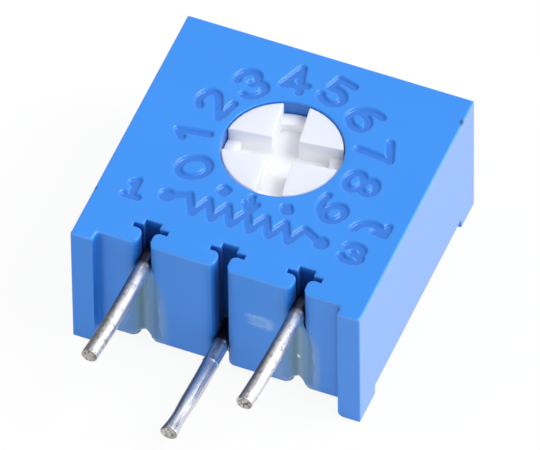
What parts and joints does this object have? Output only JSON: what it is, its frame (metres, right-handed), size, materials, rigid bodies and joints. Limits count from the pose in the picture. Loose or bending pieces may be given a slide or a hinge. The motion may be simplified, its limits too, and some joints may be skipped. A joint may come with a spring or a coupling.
{
  "type": "trimmer potentiometer",
  "caption": "Square single-turn trimmer potentiometer: blue moulded case, slotted white rotor in its top, and round wire leads leaving one side.",
  "frame": {"origin": "middle of the whole part seen from above, case and leads together, in the plane of the undersides of its four feet", "axes": "+Z is the adjustment side, up when the part stands on its feet; the leads leave along -Y; lead 1 is on the -X side"},
  "size_m": [0.0096, 0.013, 0.0048],
  "materials": {
    "housing_plastic": "moulded blue polyester, satin",
    "rotor_plastic": "moulded white, satin",
    "seal_rubber": "smooth moulded rubber",
    "wiper_alloy": "stamped spring alloy",
    "element_ceramic": "unglazed alumina",
    "track_film": "fired cermet film, matt",
    "conductor_film": "fired silver film",
    "lead_wire": "tinned copper wire",
    "solder": "soft solder",
    "epoxy": "cast epoxy, slightly clear"
  },
  "bodies": {
    "case": {"housing": "housing_plastic", "ceramic_element": "element_ceramic", "resistive_track": "track_film", "centre_conductor": "conductor_film", "left_end_conductor": "conductor_film", "right_end_conductor": "conductor_film", "lead_1": "lead_wire", "lead_2": "lead_wire", "lead_3": "lead_wire", "solder_joint_1": "solder", "solder_joint_2": "solder", "solder_joint_3": "solder", "epoxy_backfill": "epoxy"},
    "rotor": {"adjustment_rotor": "rotor_plastic", "rotor_seal": "seal_rubber", "wiper_spring": "wiper_alloy"}
  },
  "joints": [
    {"name": "adjust_turn", "type": "hinge", "parent": "case", "child": "rotor", "pos_m": [0, 0.0025, 0.00435], "axis": [0, 0, 1], "range_deg": [-163, 147]}
  ]
}
